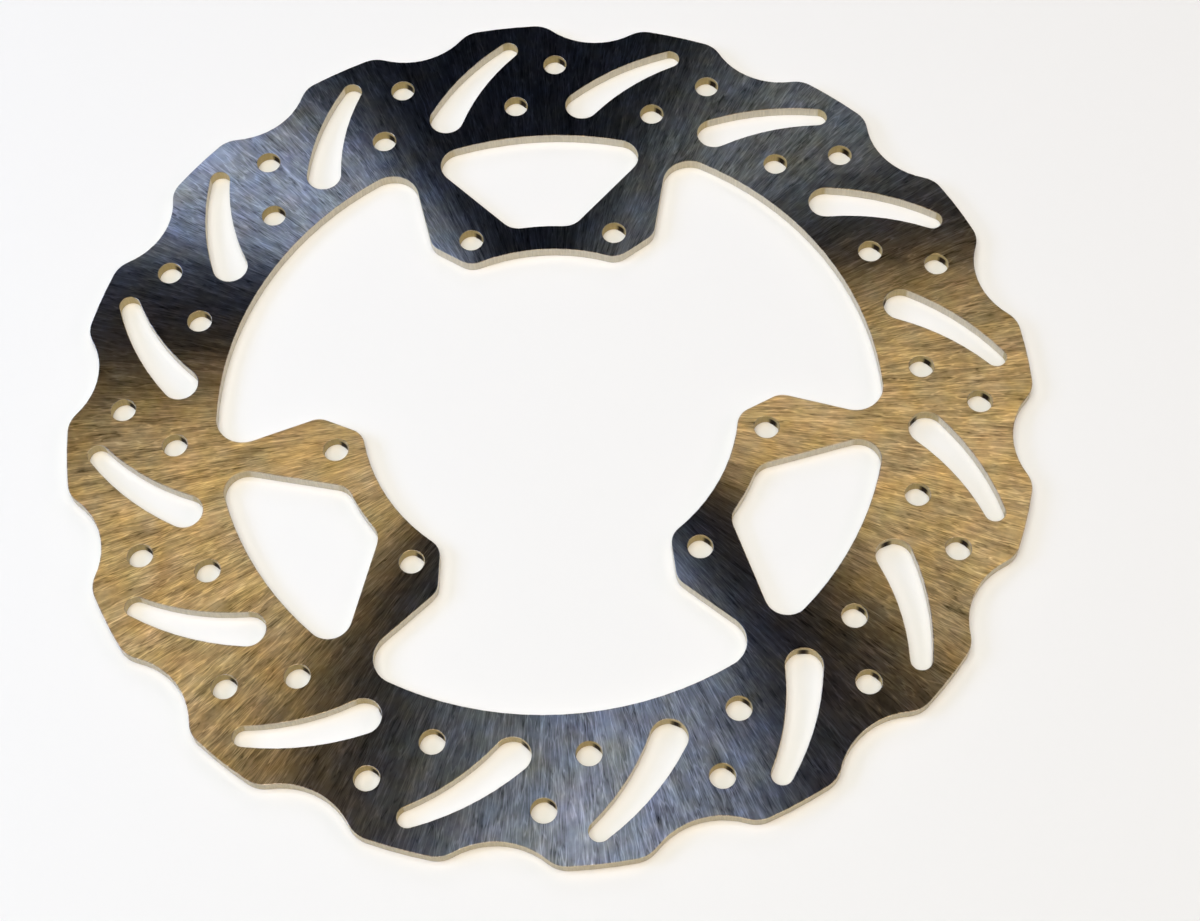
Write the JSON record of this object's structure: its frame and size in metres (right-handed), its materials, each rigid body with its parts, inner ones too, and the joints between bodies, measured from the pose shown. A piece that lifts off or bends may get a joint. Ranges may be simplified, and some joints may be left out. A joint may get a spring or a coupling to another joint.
{
  "type": "motorcycle brake disc",
  "caption": "Flat wave-edged front brake disc for a motorcycle, with swept slots and drilled holes in the band and windowed bolting feet around an open hub.",
  "frame": {"origin": "centre of the disc on its hub face", "axes": "+Z along the wheel's axis, away from the hub; +Y along the centre line of the first bolting foot"},
  "size_m": [0.24, 0.24, 0.003],
  "materials": {
    "ground_steel": "ground stainless steel with fine crossing grind lines on both faces and plain laser-cut edges"
  },
  "bodies": {
    "root": {"brake_disc": "ground_steel"}
  },
  "joints": []
}
